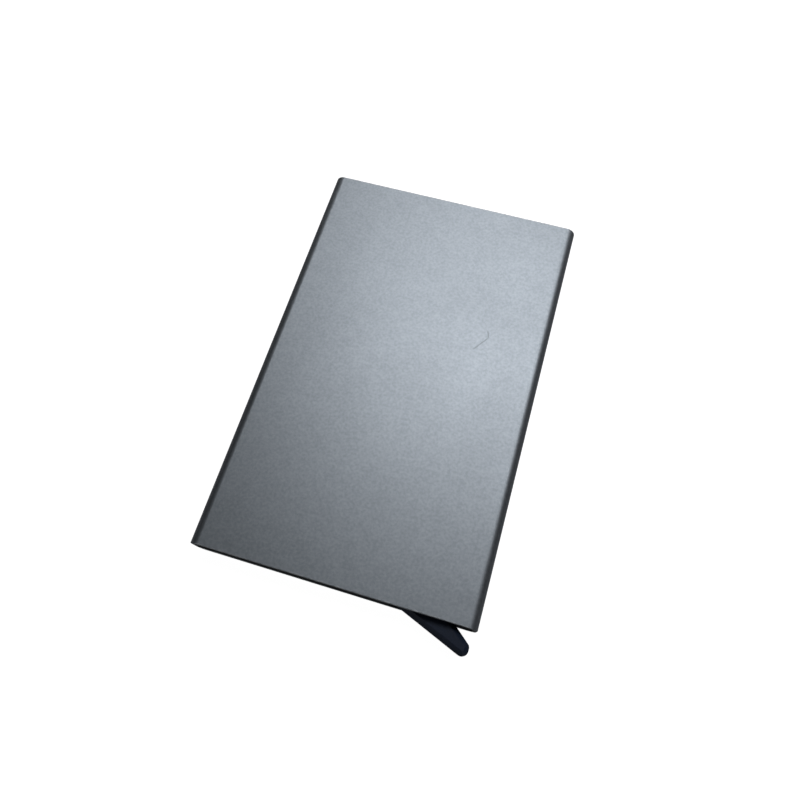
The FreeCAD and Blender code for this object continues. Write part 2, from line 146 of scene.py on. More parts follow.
def ringOfCorners(corners, steps=6):
    # corners are (x, y, radius); a corner with a radius becomes an arc
    points = []
    count = len(corners)
    for index, (x, y, radius) in enumerate(corners):
        here = Vector((x, y))
        if not radius:
            points.append(here)
            continue
        before = (Vector(corners[index - 1][:2]) - here).normalized()
        after = (Vector(corners[(index + 1) % count][:2]) - here).normalized()
        half = before.angle(after) / 2
        centre = here + (before + after).normalized() * (radius / math.sin(half))
        start = here + before * (radius / math.tan(half)) - centre
        turn = math.pi - 2 * half
        side = -1 if before.cross(after) > 0 else 1
        for step in range(steps + 1):
            points.append(centre + Matrix.Rotation(side * turn * step / steps, 2) @ start)
    return points


def addPlate(bm, outline, bottom, top):
    # a flat plate through the outline, in the xy plane
    lower = [bm.verts.new((p.x, p.y, bottom)) for p in outline]
    upper = [bm.verts.new((p.x, p.y, top)) for p in outline]
    bm.faces.new(lower[::-1])
    bm.faces.new(upper)
    for index in range(len(outline)):
        after = (index + 1) % len(outline)
        bm.faces.new((lower[index], lower[after], upper[after], upper[index]))


def meshFrom(bm, name):
    bmesh.ops.recalc_face_normals(bm, faces=bm.faces)
    mesh = bpy.data.meshes.new(name)
    bm.to_mesh(mesh)
    bm.free()
    return mesh


def startEffect(name, inputs, outputs):
    tree = bpy.data.node_groups.new(name, "ShaderNodeTree")
    for label, value in inputs.items():
        kind = "NodeSocketVector" if value is None else "NodeSocketFloat"
        socket = tree.interface.new_socket(label, in_out="INPUT", socket_type=kind)
        if value is not None:
            socket.default_value = value
    for label in outputs:
        tree.interface.new_socket(label, in_out="OUTPUT", socket_type="NodeSocketFloat")
    return tree, addNode(tree, "NodeGroupInput").outputs, addNode(tree, "NodeGroupOutput")


def rangeNode(tree, value, low, high, toLow=0.0, toHigh=1.0):
    inputs = {"Value": value, "From Min": low, "From Max": high, "To Min": toLow, "To Max": toHigh}
    return addNode(tree, "ShaderNodeMapRange", inputs).outputs[0]


def makeBlastedGrain():
    # overlapping shallow dents, with a slower drift of tone across them
    inputs = {"Place": None, "Dents Per Metre": 2600.0, "Drift": 0.5}
    tree, given, result = startEffect("blastedGrain", inputs, ("Height", "Tone"))
    finer = {"Vector": given["Place"], "Scale": given["Dents Per Metre"]}
    dents = addNode(tree, "ShaderNodeTexNoise", finer)
    dents.inputs["Detail"].default_value = 2.0
    dents.inputs["Roughness"].default_value = 0.6
    slower = mathNode(tree, "MULTIPLY", given["Dents Per Metre"], 0.22)
    clumps = addNode(tree, "ShaderNodeTexNoise", {"Vector": given["Place"], "Scale": slower})
    clumps.inputs["Detail"].default_value = 3.0
    offset = mathNode(tree, "SUBTRACT", clumps.outputs[0], 0.5)
    drift = mathNode(tree, "MULTIPLY", offset, given["Drift"])
    tone = mathNode(tree, "ADD", dents.outputs[0], drift, clamp=True)
    tree.links.new(dents.outputs[0], result.inputs["Height"])
    tree.links.new(tone, result.inputs["Tone"])
    return tree


def makeHandling():
    # fine hairline scratches and soft smudges from use
    inputs = {"Place": None, "Lines": 150.0, "Rarity": 0.93}
    tree, given, result = startEffect("handling", inputs, ("Scratch", "Smudge"))
    lines = []
    for turn, stretch in ((0.5, 22.0), (2.1, 30.0)):
        turned = addNode(tree, "ShaderNodeMapping", {"Vector": given["Place"]})
        turned.inputs["Rotation"].default_value = (0.0, 0.0, turn)
        turned.inputs["Scale"].default_value = (1.0, 1.0 / stretch, 1.0)
        finer = mathNode(tree, "MULTIPLY", given["Lines"], 14.0)
        noise = addNode(tree, "ShaderNodeTexNoise", {"Vector": turned.outputs[0], "Scale": finer})
        noise.inputs["Detail"].default_value = 0.0
        spread = {"Vector": given["Place"], "Scale": given["Lines"]}
        patch = addNode(tree, "ShaderNodeTexNoise", spread)
        patch.inputs["Detail"].default_value = 1.0
        line = rangeNode(tree, noise.outputs[0], given["Rarity"], 1.0)
        share = rangeNode(tree, patch.outputs[0], 0.5, 0.7)
        lines.append(mathNode(tree, "MULTIPLY", line, share))
    smudge = addNode(tree, "ShaderNodeTexNoise", {"Vector": given["Place"], "Scale": 38.0})
    smudge.inputs["Detail"].default_value = 4.0
    smudge.inputs["Distortion"].default_value = 0.6
    tree.links.new(mathNode(tree, "MAXIMUM", *lines), result.inputs["Scratch"])
    tree.links.new(rangeNode(tree, smudge.outputs[0], 0.35, 0.7), result.inputs["Smudge"])
    return tree


def makeEdgeWear():
    # worn where two faces of the piece's box meet: the distance to the second nearest
    # face, broken up by noise
    inputs = {"Place": None, "Middle": None, "Half Size": None, "Band": 0.4 * mm, "Breakup": 900.0}
    tree, given, result = startEffect("edgeWear", inputs, ("Wear",))
    away = vectorNode(tree, "SUBTRACT", given["Place"], given["Middle"])[0]
    away = vectorNode(tree, "ABSOLUTE", away)[0]
    depth = vectorNode(tree, "SUBTRACT", given["Half Size"], away)[0]
    parts = addNode(tree, "ShaderNodeSeparateXYZ", {0: depth}).outputs
    lowest = mathNode(tree, "MINIMUM", mathNode(tree, "MINIMUM", parts[0], parts[1]), parts[2])
    highest = mathNode(tree, "MAXIMUM", mathNode(tree, "MAXIMUM", parts[0], parts[1]), parts[2])
    total = mathNode(tree, "ADD", mathNode(tree, "ADD", parts[0], parts[1]), parts[2])
    second = mathNode(tree, "SUBTRACT", mathNode(tree, "SUBTRACT", total, lowest), highest)
    breakup = {"Vector": given["Place"], "Scale": given["Breakup"]}
    noise = addNode(tree, "ShaderNodeTexNoise", breakup)
    noise.inputs["Detail"].default_value = 3.0
    near = mathNode(tree, "DIVIDE", second, given["Band"])
    ragged = mathNode(tree, "ADD", near, rangeNode(tree, noise.outputs[0], 0.3, 0.7, 0.0, 1.4))
    tree.links.new(rangeNode(tree, ragged, 1.0, 1.5, 1.0, 0.0), result.inputs["Wear"])
    return tree


blastedGrain = makeBlastedGrain()
handling = makeHandling()
edgeWear = makeEdgeWear()
print("shared effects ready")


def startFinish(name, metallic=0.0, specular=0.5):
    finish = bpy.data.materials.new(name)
    finish.use_nodes = True
    tree = finish.node_tree
    tree.nodes.clear()
    shader = addNode(tree, "ShaderNodeBsdfPrincipled")
    shader.inputs["Metallic"].default_value = metallic
    shader.inputs["Specular IOR Level"].default_value = specular
    addNode(tree, "ShaderNodeOutputMaterial", {"Surface": shader.outputs[0]})
    place = addNode(tree, "ShaderNodeTexCoord").outputs["Object"]
    return finish, tree, shader, place


def effect(tree, group, place, sizes=None):
    node = addNode(tree, "ShaderNodeGroup")
    node.node_tree = group
    tree.links.new(place, node.inputs["Place"])
    for label, value in (sizes or {}).items():
        node.inputs[label].default_value = value
    return node.outputs


def blend(tree, share, first, second):
    node = addNode(tree, "ShaderNodeMix", data_type="RGBA")
    tree.links.new(share, node.inputs["Factor"])
    for index, value in ((6, first), (7, second)):
        if isinstance(value, bpy.types.NodeSocket):
            tree.links.new(value, node.inputs[index])
        else:
            node.inputs[index].default_value = (*value, 1.0)
    return node.outputs[2]


def bump(tree, height, depth):
    node = addNode(tree, "ShaderNodeBump", {"Height": height})
    node.inputs["Strength"].default_value = 1.0
    node.inputs["Distance"].default_value = depth
    return node.outputs[0]


caseFinishSizes = {
    "darkTone": (0.245, 0.272, 0.300),
    "lightTone": (0.305, 0.335, 0.370),
    "wornTone": (0.50, 0.52, 0.54),
    "wornShare": 0.5,
    "wornBand": 0.3 * mm,
    "nickTone": (0.16, 0.18, 0.20),
    "nickShare": 0.9,
    "smoothest": 0.445,
    "roughest": 0.47,
    "dentDepth": 0.0078 * mm,
    "dentsPerMetre": 1600.0,
    "drift": 0.3,
}


def makeCaseFinish(sizes):
    finish, tree, shader, place = startFinish("blastedAluminium", metallic=1.0)
    dents = {"Dents Per Metre": sizes["dentsPerMetre"], "Drift": sizes["drift"]}
    grain = effect(tree, blastedGrain, place, dents)
    marks = effect(tree, handling, place)
    edges = {"Middle": caseMiddle, "Half Size": caseSize / 2, "Band": sizes["wornBand"]}
    wear = effect(tree, edgeWear, place, edges)
    tone = rangeNode(tree, grain["Tone"], 0.3, 0.7)
    colour = blend(tree, tone, sizes["darkTone"], sizes["lightTone"])
    nick = mathNode(tree, "MULTIPLY", makeNick(tree, place, nickSizes), sizes["nickShare"])
    colour = blend(tree, nick, colour, sizes["nickTone"])
    worn = mathNode(tree, "MAXIMUM", wear["Wear"], marks["Scratch"])
    rubbed = mathNode(tree, "MULTIPLY", worn, sizes["wornShare"])
    colour = blend(tree, rubbed, colour, sizes["wornTone"])
    tree.links.new(colour, shader.inputs["Base Color"])
    gloss = rangeNode(tree, marks["Smudge"], 0.0, 1.0, sizes["smoothest"], sizes["roughest"])
    tree.links.new(gloss, shader.inputs["Roughness"])
    tree.links.new(bump(tree, grain["Height"], sizes["dentDepth"]), shader.inputs["Normal"])
    return finish


nickSizes = {
    # millimetres
    "corners": ((14.8, 10.4), (17.65, 14.2), (16.95, 15.9)),
    "width": 0.24,
    "wander": 0.6,
}


def makeNick(tree, place, sizes):
    # one fine hooked nick on the front face: distance to its short straight runs
    wobble = addNode(tree, "ShaderNodeTexNoise", {"Vector": place, "Scale": 700.0}).outputs[0]
    offset = mathNode(tree, "SUBTRACT", wobble, 0.5)
    bend = mathNode(tree, "MULTIPLY", offset, sizes["wander"] * mm)
    runs = []
    for first, second in zip(sizes["corners"], sizes["corners"][1:]):
        start, end = Vector((*first, 0.0)) * mm, Vector((*second, 0.0)) * mm
        along = (end - start).normalized()
        across = Vector((-along.y, along.x, 0.0))
        away = vectorNode(tree, "SUBTRACT", place, (start + end) / 2)[0]
        run = vectorNode(tree, "DOT_PRODUCT", away, along)["Value"]
        off = vectorNode(tree, "DOT_PRODUCT", away, across)["Value"]
        off = mathNode(tree, "ABSOLUTE", mathNode(tree, "ADD", off, bend))
        run = mathNode(tree, "ABSOLUTE", run)
        length = (end - start).length / 2
        inside = rangeNode(tree, run, length * 0.8, length * 1.05, 1.0, 0.0)
        thin = rangeNode(tree, off, 0.0, sizes["width"] * mm, 1.0, 0.0)
        runs.append(mathNode(tree, "MULTIPLY", inside, thin))
    height = addNode(tree, "ShaderNodeSeparateXYZ", {0: place}).outputs[2]
    front = mathNode(tree, "GREATER_THAN", height, caseHigh.z - 0.1 * mm)
    return mathNode(tree, "MULTIPLY", mathNode(tree, "MAXIMUM", *runs), front)


plasticKinds = {
    # tone, second tone, specular level, roughness, texture depth in mm, texture grains per metre
    "base_plastic": ((0.010, 0.011, 0.013), (0.017, 0.018, 0.021), 0.3, 0.55, 0.008, 3200.0),
    "lever_plastic": ((0.009, 0.015, 0.031), (0.013, 0.021, 0.041), 0.2, 0.48, 0.004, 2600.0),
    "rail_plastic": ((0.030, 0.032, 0.036), (0.042, 0.044, 0.049), 0.45, 0.5, 0.006, 2400.0),
    "stop_plastic": ((0.036, 0.038, 0.043), (0.050, 0.052, 0.058), 0.45, 0.5, 0.006, 2400.0),
    "comb_rubber": ((0.055, 0.059, 0.067), (0.078, 0.083, 0.093), 0.45, 0.75, 0.010, 2000.0),
    "pad_rubber": ((0.016, 0.016, 0.017), (0.028, 0.028, 0.030), 0.45, 0.8, 0.012, 1800.0),
}
plasticWear = {"tone": (0.07, 0.075, 0.085), "share": 0.35, "band": 0.25 * mm, "lines": 220.0}


def makePlastic(slotName, middle, half):
    dark, light, specular, roughness, depth, grains = plasticKinds[slotName]
    finish, tree, shader, place = startFinish(slotName + "Finish", specular=specular)
    grain = effect(tree, blastedGrain, place, {"Dents Per Metre": grains})
    marks = effect(tree, handling, place, {"Lines": plasticWear["lines"]})
    edges = {"Middle": middle, "Half Size": half, "Band": plasticWear["band"]}
    wear = effect(tree, edgeWear, place, edges)
    colour = blend(tree, rangeNode(tree, grain["Tone"], 0.3, 0.7), dark, light)
    worn = mathNode(tree, "MAXIMUM", wear["Wear"], marks["Scratch"])
    rubbed = mathNode(tree, "MULTIPLY", worn, plasticWear["share"])
    colour = blend(tree, rubbed, colour, plasticWear["tone"])
    tree.links.new(colour, shader.inputs["Base Color"])
    gloss = rangeNode(tree, marks["Smudge"], 0.0, 1.0, roughness - 0.06, roughness + 0.08)
    tree.links.new(gloss, shader.inputs["Roughness"])
    tree.links.new(bump(tree, grain["Height"], depth * mm), shader.inputs["Normal"])
    return finish


steelSizes = {
    "darkTone": (0.50, 0.50, 0.51),
    "lightTone": (0.68, 0.68, 0.69),
    "smoothest": 0.22,
    "roughest": 0.36,
    "lineDepth": 0.004 * mm,
}


def makeSteel(sizes):
    # fine ground lines that run round the pin
    finish, tree, shader, place = startFinish("groundSteel", metallic=1.0)
    rings = addNode(tree, "ShaderNodeMapping", {"Vector": place})
    rings.inputs["Scale"].default_value = (1.0, 1.0, 14.0)
    across = {"Vector": rings.outputs[0], "Scale": 900.0}
    lines = addNode(tree, "ShaderNodeTexNoise", across).outputs[0]
    colour = blend(tree, lines, sizes["darkTone"], sizes["lightTone"])
    gloss = rangeNode(tree, lines, 0.3, 0.7, sizes["smoothest"], sizes["roughest"])
    tree.links.new(colour, shader.inputs["Base Color"])
    tree.links.new(gloss, shader.inputs["Roughness"])
    tree.links.new(bump(tree, lines, sizes["lineDepth"]), shader.inputs["Normal"])
    return finish


feltFinishSizes = {
    "darkTone": (0.025, 0.026, 0.030),
    "lightTone": (0.085, 0.088, 0.097),
    "sheen": 0.5,
    "sheenRoughness": 0.6,
    "tangleDepth": 0.06 * mm,
}


def makeFeltFinish(sizes):
    finish, tree, shader, place = startFinish("charcoalFelt", specular=0.2)
    shader.inputs["Sheen Weight"].default_value = sizes["sheen"]
    shader.inputs["Sheen Roughness"].default_value = sizes["sheenRoughness"]
    tangle = addNode(tree, "ShaderNodeTexNoise", {"Vector": place, "Scale": 1500.0})
    tangle.inputs["Detail"].default_value = 6.0
    tangle.inputs["Distortion"].default_value = 1.5
    flecks = rangeNode(tree, tangle.outputs[0], 0.3, 0.7)
    colour = blend(tree, flecks, sizes["darkTone"], sizes["lightTone"])
    height = bump(tree, tangle.outputs[0], sizes["tangleDepth"])
    tree.links.new(colour, shader.inputs["Base Color"])
    tree.links.new(rangeNode(tree, flecks, 0.0, 1.0, 0.85, 1.0), shader.inputs["Roughness"])
    tree.links.new(height, shader.inputs["Normal"])
    return finish


def middleAndHalf(node):
    low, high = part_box(node)
    return (low + high) / 2, (high - low) / 2


caseFinish = makeCaseFinish(caseFinishSizes)
baseFinish = makePlastic("base_plastic", *middleAndHalf("base_cap"))
leverFinish = makePlastic("lever_plastic", *middleAndHalf("eject_lever"))
railFinish = makePlastic("rail_plastic", *middleAndHalf("left_rail"))
stopFinish = makePlastic("stop_plastic", *middleAndHalf("left_mouth_stop"))
combFinish = makePlastic("comb_rubber", *middleAndHalf("left_comb"))
padFinish = makePlastic("pad_rubber", *middleAndHalf("lever_stop_pad"))
steelFinish = makeSteel(steelSizes)
feltFinish = makeFeltFinish(feltFinishSizes)
print("finishes ready")


caseSizes = {
    "Length": caseSize.y,
    "Width": caseSize.x,
    "Depth": caseSize.z,
    "Corner Radius": 2.25 * mm,
    "Corner Steps": 14,
    "Wall": 1.0 * mm,
    "Rim Rounding": 0.15 * mm,
    "Lip Spread": 56.4 * mm,
    "Lip Thickness": 0.6 * mm,
}


def makeCaseTree(sizes):
    # the wall's long thin section is swept round the rounded outline of the tube
    tree, given = startTree("caseTube", sizes)
    outline = roundedOutline(
        tree, given["Width"], given["Depth"], given["Corner Radius"], given["Corner Steps"]
    )
    wall = roundedOutline(tree, given["Wall"], given["Length"], given["Rim Rounding"], 5)
    halfIn = mathNode(tree, "MULTIPLY", given["Wall"], -0.5)
    inward = addNode(tree, "ShaderNodeCombineXYZ", {0: halfIn}).outputs[0]
    wall = addNode(tree, "GeometryNodeTransform", {0: wall, "Translation": inward}).outputs[0]
    section = {"Curve": outline, "Profile Curve": wall}
    tube = addNode(tree, "GeometryNodeCurveToMesh", section).outputs[0]
    thickness = given["Lip Thickness"]
    double = mathNode(tree, "MULTIPLY", given["Wall"], 2.0)
    inside = mathNode(tree, "SUBTRACT", given["Depth"], double)
    between = mathNode(tree, "SUBTRACT", inside, thickness)
    fourLips = {"Size X": given["Lip Spread"], "Size Y": between, "Vertices X": 2, "Vertices Y": 2}
    grid = addNode(tree, "GeometryNodeMeshGrid", fourLips).outputs[0]
    inset = mathNode(tree, "SUBTRACT", given["Length"], given["Wall"])
    lipSize = addNode(tree, "ShaderNodeCombineXYZ", {0: thickness, 1: thickness, 2: inset}).outputs[0]
    lip = addNode(tree, "GeometryNodeMeshCube", {"Size": lipSize}).outputs[0]
    placed = {"Points": grid, "Instance": lip}
    lips = addNode(tree, "GeometryNodeInstanceOnPoints", placed).outputs[0]
    joined = addNode(tree, "GeometryNodeJoinGeometry")
    tree.links.new(tube, joined.inputs[0])
    tree.links.new(lips, joined.inputs[0])
    upright = addNode(tree, "GeometryNodeTransform", {0: joined.outputs[0]})
    upright.inputs["Rotation"].default_value = (math.pi / 2, 0.0, 0.0)
    upright.inputs["Translation"].default_value = caseMiddle
    endTree(tree, given, upright.outputs[0])
    return tree


caseShell = grow("caseShell", makeCaseTree(caseSizes), caseSizes, caseFinish)
smooth(caseShell)
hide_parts("case_tube")
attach(caseShell, "holder")
print("case made")


pivot = Vector(frame["joints"][0]["pos_m"]) / mm
leverSizes = {
    # millimetres and degrees; the arm's and web's heights and reaches are counted from the pivot
    "hubRadius": 3.6,
    "tabThickness": 4.1,
    "tabAngle": 21.0,
    "tip": (30.4, -52.05),
    "notch": (27.1, -49.35),
    "tipRounding": (1.3, 1.05),
    "tabBevel": 1.0,
    "bevelProfile": 0.3,
    "armThickness": 5.6,
    "armReach": 41.3,
    "armTop": 6.05,
    "armFoot": 1.7,
    "armStraight": 9.0,
    "armHeel": (-6.0, -2.4),
    "webTop": 5.2,
    "webLow": -2.2,
    "webOnHub": (109.5, 223.0),
    "steps": 6,
    "stepPitch": 4.6,
    "stepRounding": 0.9,
}


def onCircle(centre, radius, degrees):
    turn = math.radians(degrees)
    return centre + radius * Vector((math.cos(turn), math.sin(turn)))


def hubAndTabOutline(sizes):
    # an arc round the hub, then the tab's rounded end
    radius, slope = sizes["hubRadius"], sizes["tabAngle"]
    notch, tip = Vector(sizes["notch"]), Vector(sizes["tip"])
    toNotch = notch - pivot.xy
    first = math.degrees(math.atan2(toNotch.y, toNotch.x) + math.acos(radius / toNotch.length))
    last = 270 - slope
    arc = [onCircle(pivot.xy, radius, first + (last - first) * step / 20) for step in range(21)]
    root = arc[-1]
    lowTip = (tip.x, root.y - (tip.x - root.x) * math.tan(math.radians(slope)))
    low, high = sizes["tipRounding"]
    return arc[:-1] + ringOfCorners([(*root, 0), (*lowTip, low), (*tip, high), (*notch, 0)])


def makeTab(sizes):
    bm = bmesh.new()
    middle, half = caseMiddle.z / mm, sizes["tabThickness"] / 2
    addPlate(bm, hubAndTabOutline(sizes), middle - half, middle + half)
    return meshFrom(bm, "tab")


def makeArm(sizes):
    # flat plates, each one shorter than the one behind it, and the web that joins them to the hub
    bm = bmesh.new()
    middle = caseMiddle.z / mm
    bottom = middle - sizes["armThickness"] / 2
    layer = sizes["armThickness"] / sizes["steps"]
    heel = pivot.xy + Vector(sizes["armHeel"])
    foot, top = pivot.y + sizes["armFoot"], pivot.y + sizes["armTop"]
    elbow = pivot.x - sizes["armReach"] + sizes["armStraight"]
    for step in range(sizes["steps"]):
        end = pivot.x - sizes["armReach"] + step * sizes["stepPitch"]
        fall = max(0.0, end - elbow) / (heel.x - elbow) * (foot - heel.y)
        corners = [(end, top, sizes["stepRounding"]), (end, foot - fall, 0)]
        corners += [(*heel, 0), (heel.x, top, 0)]
        if end < elbow:
            corners.insert(2, (elbow, foot, 0))
        # each plate reaches a little into the one behind it
        overlap = 0.02 if step else 0.0
        behind = bottom + step * layer - overlap
        addPlate(bm, ringOfCorners(corners), behind, bottom + (step + 1) * layer)
    web = [(heel.x - 1, pivot.y + sizes["webTop"], 0), (heel.x - 1, pivot.y + sizes["webLow"], 0)]
    high, low = sizes["webOnHub"]
    web += [(*onCircle(pivot.xy, sizes["hubRadius"], low), 0), (pivot.x, pivot.y, 0)]
    web.append((*onCircle(pivot.xy, sizes["hubRadius"], high), 0))
    half = sizes["tabThickness"] / 2
    addPlate(bm, ringOfCorners(web), middle - half, middle + half)
    return meshFrom(bm, "arm")


def bevelEdges(piece, width, profile=0.5):
    # a profile of 0.5 is round, and 0.25 is flat
    bevel = piece.modifiers.new("bevel", "BEVEL")
    bevel.limit_method = "ANGLE"
    bevel.angle_limit = math.radians(60)
    bevel.width = width * mm
    bevel.segments = 6
    bevel.profile = profile
    bevel.use_clamp_overlap = False  # the short edges of the arcs would hold it back
    smooth(piece)


leverTab = addPiece("leverTab", makeTab(leverSizes), leverFinish)
leverArm = addPiece("leverArm", makeArm(leverSizes), leverFinish)
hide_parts("eject_lever")
for piece in (leverTab, leverArm):
    piece.data.transform(Matrix.Scale(mm, 4))
    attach(piece, "lever")
bevelEdges(leverTab, leverSizes["tabBevel"], leverSizes["bevelProfile"])
print("lever made")

padSizes = {"rounding": 0.12}  # millimetres


def makePad(sizes):
    # the rubber pad with its edges moulded round
    low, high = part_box("lever_stop_pad")
    corners = [(low.x, low.y), (high.x, low.y), (high.x, high.y), (low.x, high.y)]
    bm = bmesh.new()
    addPlate(bm, [Vector(corner) for corner in corners], low.z, high.z)
    pad = addPiece("stopPad", meshFrom(bm, "stopPad"), padFinish)
    bevelEdges(pad, sizes["rounding"])
    return pad


stopPad = makePad(padSizes)
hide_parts("lever_stop_pad")
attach(stopPad, "holder")
print("stop pad made")

combSizes = {
    "Tongues Across": 6,
    "Tongues Along": 12,
    "Pitch Across": 0.75 * mm,
    "Pitch Along": 6.0 * mm,
    "Tongue Length": 5.5 * mm,
    "Tongue Reach": 1.42 * mm,
    "Tongue Thickness": 0.3 * mm,
    "Tongue Rounding": 0.35 * mm,
    "Back Thickness": 0.62 * mm,
    "Back Width": 4.4 * mm,
    "Sway": 0.05,
    "Seed": 4,
}


def spanBetween(tree, count, pitch):
    # from the first of a row to its last
    return mathNode(tree, "MULTIPLY", mathNode(tree, "SUBTRACT", count, 1.0), pitch)


def swayNode(tree, most, seed):
    # a random lean for each tongue, either way
    sway = addNode(tree, "FunctionNodeRandomValue", data_type="FLOAT")
    least = mathNode(tree, "MULTIPLY", most, -1.0)
    for plug, value in (("Min", least), ("Max", most), ("Seed", seed)):
        target = next(socket for socket in sway.inputs if socket.name == plug and socket.enabled)
        tree.links.new(value, target)
    lean = next(socket for socket in sway.outputs if socket.enabled)
    return addNode(tree, "ShaderNodeCombineXYZ", {1: lean}).outputs[0]


def makeTongue(tree, given):
    # one rounded slab, standing on its long edge
    blade = roundedOutline(
        tree, given["Tongue Reach"], given["Tongue Length"], given["Tongue Rounding"], 4
    )
    blade = addNode(tree, "GeometryNodeFillCurve", {0: blade}, mode="NGONS").outputs[0]
    thicken = {"Mesh": blade, "Offset Scale": given["Tongue Thickness"], "Individual": False}
    slab = addNode(tree, "GeometryNodeExtrudeMesh", thicken).outputs[0]
    under = addNode(tree, "GeometryNodeFlipFaces", {0: blade}).outputs[0]
    closed = addNode(tree, "GeometryNodeJoinGeometry")
    tree.links.new(slab, closed.inputs[0])
    tree.links.new(under, closed.inputs[0])
    welded = {0: closed.outputs[0], "Distance": 0.001 * mm}
    tongue = addNode(tree, "GeometryNodeMergeByDistance", welded).outputs[0]
    halfThick = mathNode(tree, "MULTIPLY", given["Tongue Thickness"], -0.5)
    centred = addNode(tree, "ShaderNodeCombineXYZ", {2: halfThick}).outputs[0]
    tongue = addNode(tree, "GeometryNodeTransform", {0: tongue, "Translation": centred}).outputs[0]
    tongue = addNode(tree, "GeometryNodeTransform", {0: tongue})
    tongue.inputs["Rotation"].default_value = (0.0, math.pi / 2, 0.0)
    return tongue.outputs[0]


def makeCombTree(sizes):
    # rows of tongues on a flat back, made lying down
    tree, given = startTree("gripComb", sizes)
    across = spanBetween(tree, given["Tongues Across"], given["Pitch Across"])
    along = spanBetween(tree, given["Tongues Along"], given["Pitch Along"])
    counts = {"Vertices X": given["Tongues Across"], "Vertices Y": given["Tongues Along"]}
    grid = addNode(tree, "GeometryNodeMeshGrid", {"Size X": across, "Size Y": along, **counts})
    lean = swayNode(tree, given["Sway"], given["Seed"])
    placed = {"Points": grid.outputs[0], "Instance": makeTongue(tree, given), "Rotation": lean}
    tongues = addNode(tree, "GeometryNodeInstanceOnPoints", placed).outputs[0]
    length = mathNode(tree, "ADD", along, given["Tongue Length"])
    slab = {0: given["Back Width"], 1: length, 2: given["Back Thickness"]}
    backSize = addNode(tree, "ShaderNodeCombineXYZ", slab).outputs[0]
    back = addNode(tree, "GeometryNodeMeshCube", {"Size": backSize}).outputs[0]
    depth = mathNode(tree, "ADD", given["Tongue Reach"], given["Back Thickness"])
    below = addNode(tree, "ShaderNodeCombineXYZ", {2: mathNode(tree, "MULTIPLY", depth, 0.5)})
    moved = {0: back, "Translation": below.outputs[0]}
    back = addNode(tree, "GeometryNodeTransform", moved).outputs[0]
    joined = addNode(tree, "GeometryNodeJoinGeometry")
    tree.links.new(tongues, joined.inputs[0])
    tree.links.new(back, joined.inputs[0])
    endTree(tree, given, joined.outputs[0])
    return tree


combTree = makeCombTree(combSizes)
for side, turn in (("left", 1), ("right", -1)):
    comb = grow(side + "GripComb", combTree, combSizes, combFinish)
    low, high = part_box(side + "_comb")
    middle = (low + high) / 2
    tip = high.x if side == "left" else low.x
    middle.x = tip - turn * combSizes["Tongue Reach"] / 2
    comb.data.transform(Matrix.Rotation(-turn * math.pi / 2, 4, "Y"))
    comb.data.transform(Matrix.Translation(middle))
    smooth(comb, 50)
    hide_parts(side + "_comb")
    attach(comb, "holder")

feltSizes = {
    "Width": 6.0 * mm,
    "Length": 52.0 * mm,
    "Thickness": 0.45 * mm,
    "Corner Radius": 1.5 * mm,
    "Fibres Per Square Metre": 7.0e6,
    "Fibre Radius": 0.018 * mm,
    "Seed": 11,
}


def makeFeltTree(sizes):
    # a thin rounded strip with short curled fibres standing out of it
    tree, given = startTree("feltStrip", sizes)
    outline = roundedOutline(tree, given["Width"], given["Length"], given["Corner Radius"], 8)
    sheet = addNode(tree, "GeometryNodeFillCurve", {0: outline}, mode="NGONS").outputs[0]
    thicken = {"Mesh": sheet, "Offset Scale": given["Thickness"], "Individual": False}
    raised = addNode(tree, "GeometryNodeExtrudeMesh", thicken)
    under = addNode(tree, "GeometryNodeFlipFaces", {0: sheet}).outputs[0]
    spread = {"Mesh": raised.outputs["Mesh"], "Selection": raised.outputs["Top"]}
    spread.update({"Density": given["Fibres Per Square Metre"], "Seed": given["Seed"]})
    scatter = addNode(tree, "GeometryNodeDistributePointsOnFaces", spread)
    bend = addNode(tree, "GeometryNodeCurvePrimitiveBezierSegment", {"Resolution": 3})
    bend.inputs["Start"].default_value = (0.0, 0.0, -0.02 * mm)
    bend.inputs["Start Handle"].default_value = (0.0, 0.0, 0.2 * mm)
    bend.inputs["End Handle"].default_value = (0.15 * mm, 0.0, 0.25 * mm)
    bend.inputs["End"].default_value = (0.42 * mm, 0.05 * mm, 0.14 * mm)
    threeSided = {"Resolution": 3, "Radius": given["Fibre Radius"]}
    thread = addNode(tree, "GeometryNodeCurvePrimitiveCircle", threeSided).outputs[0]
    strand = {"Curve": bend.outputs[0], "Profile Curve": thread, "Fill Caps": True}
    fibre = addNode(tree, "GeometryNodeCurveToMesh", strand).outputs[0]
    turn = addNode(tree, "FunctionNodeRandomValue", data_type="FLOAT_VECTOR")
    turn.inputs["Min"].default_value = (-0.3, -0.3, 0.0)
    turn.inputs["Max"].default_value = (0.3, 0.3, 6.283)
    tree.links.new(given["Seed"], turn.inputs["Seed"])
    placed = {"Points": scatter.outputs[0], "Instance": fibre, "Rotation": turn.outputs[0]}
    fibres = addNode(tree, "GeometryNodeInstanceOnPoints", placed).outputs[0]
    joined = addNode(tree, "GeometryNodeJoinGeometry")
    for part in (raised.outputs["Mesh"], under, fibres):
        tree.links.new(part, joined.inputs[0])
    endTree(tree, given, joined.outputs[0])
    return tree


feltTree = makeFeltTree(feltSizes)
for side in ("left", "right"):
    felt = grow(side + "Felt", feltTree, feltSizes, feltFinish)
    low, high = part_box(side + "_felt_strip")
    spot = (low + high) / 2
    spot.z = low.z
    felt.data.transform(Matrix.Translation(spot))
    smooth(felt, 60)
    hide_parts(side + "_felt_strip")
    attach(felt, "holder")
print("combs and felt made")


def coatNode(node, finish):
    materials = frame["nodes"][node].data.materials
    materials.clear()
    materials.append(finish)


